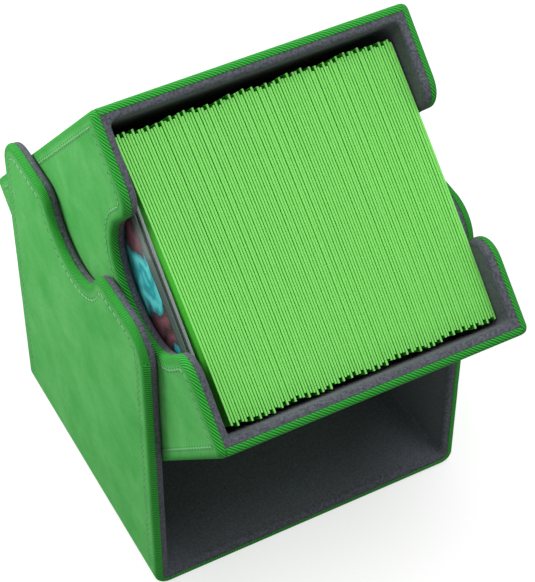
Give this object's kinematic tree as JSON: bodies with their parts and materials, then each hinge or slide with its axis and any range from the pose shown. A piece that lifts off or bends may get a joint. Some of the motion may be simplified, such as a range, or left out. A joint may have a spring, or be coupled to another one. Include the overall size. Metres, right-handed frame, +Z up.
{
  "type": "card deck box",
  "caption": "Two-part deck box: an open tray of sleeved cards tilts between the wavy side walls of its U-shaped cover, which serves as its stand.",
  "frame": {"origin": "centre of the holder's underside, on the surface it stands on", "axes": "+X to the right along the tray's tilt axis, +Y to the rear, +Z up; the tray leans towards -Y at rest"},
  "size_m": [0.0848, 0.1246, 0.1313],
  "materials": {
    "green_leatherette": "matt suede-like leatherette, bright green, mottled",
    "dark_lining": "dark grey microfibre with a short nap",
    "greyboard": "plain compressed board",
    "magnet": "nickel plated",
    "green_sleeve": "matt film, bright green",
    "clear_sleeve": "clear film",
    "card_stock": "coated card"
  },
  "bodies": {
    "stand": {"stand_cover": "green_leatherette", "stand_outer_board_left": "greyboard", "stand_outer_board_right": "greyboard", "stand_outer_board_floor": "greyboard", "stand_lining": "dark_lining", "stand_inner_board_left": "greyboard", "stand_inner_board_right": "greyboard", "stand_inner_board_floor": "greyboard", "stand_magnet_left": "magnet", "stand_magnet_right": "magnet"},
    "tray": {"tray_cover_left": "green_leatherette", "tray_cover_right": "green_leatherette", "tray_cover_wrap": "green_leatherette", "tray_outer_board_left": "greyboard", "tray_outer_board_right": "greyboard", "tray_outer_board_front": "greyboard", "tray_outer_board_rear": "greyboard", "tray_outer_board_bottom": "greyboard", "tray_lining_left": "dark_lining", "tray_lining_right": "dark_lining", "tray_lining_wrap": "dark_lining", "tray_inner_board_left": "greyboard", "tray_inner_board_right": "greyboard", "tray_inner_board_front": "greyboard", "tray_inner_board_rear": "greyboard", "tray_inner_board_bottom": "greyboard", "tray_magnet_left": "magnet", "tray_magnet_right": "magnet"},
    "deck": {"deck_sleeves": "green_sleeve", "deck_cards": "card_stock"},
    "front_card": {"front_sleeve": "clear_sleeve", "front_card": "card_stock"}
  },
  "joints": [
    {"name": "tray_tilt", "type": "hinge", "parent": "stand", "child": "tray", "pos_m": [0, 0, 0.0619], "axis": [1, 0, 0], "range_deg": [-82.4, 48.8]},
    {"name": "deck_lift", "type": "slide", "parent": "tray", "child": "deck", "axis": [0, -0.6587, 0.7524], "range_m": [0, 0.095]},
    {"name": "front_card_lift", "type": "slide", "parent": "tray", "child": "front_card", "axis": [0, -0.6587, 0.7524], "range_m": [0, 0.095]}
  ]
}
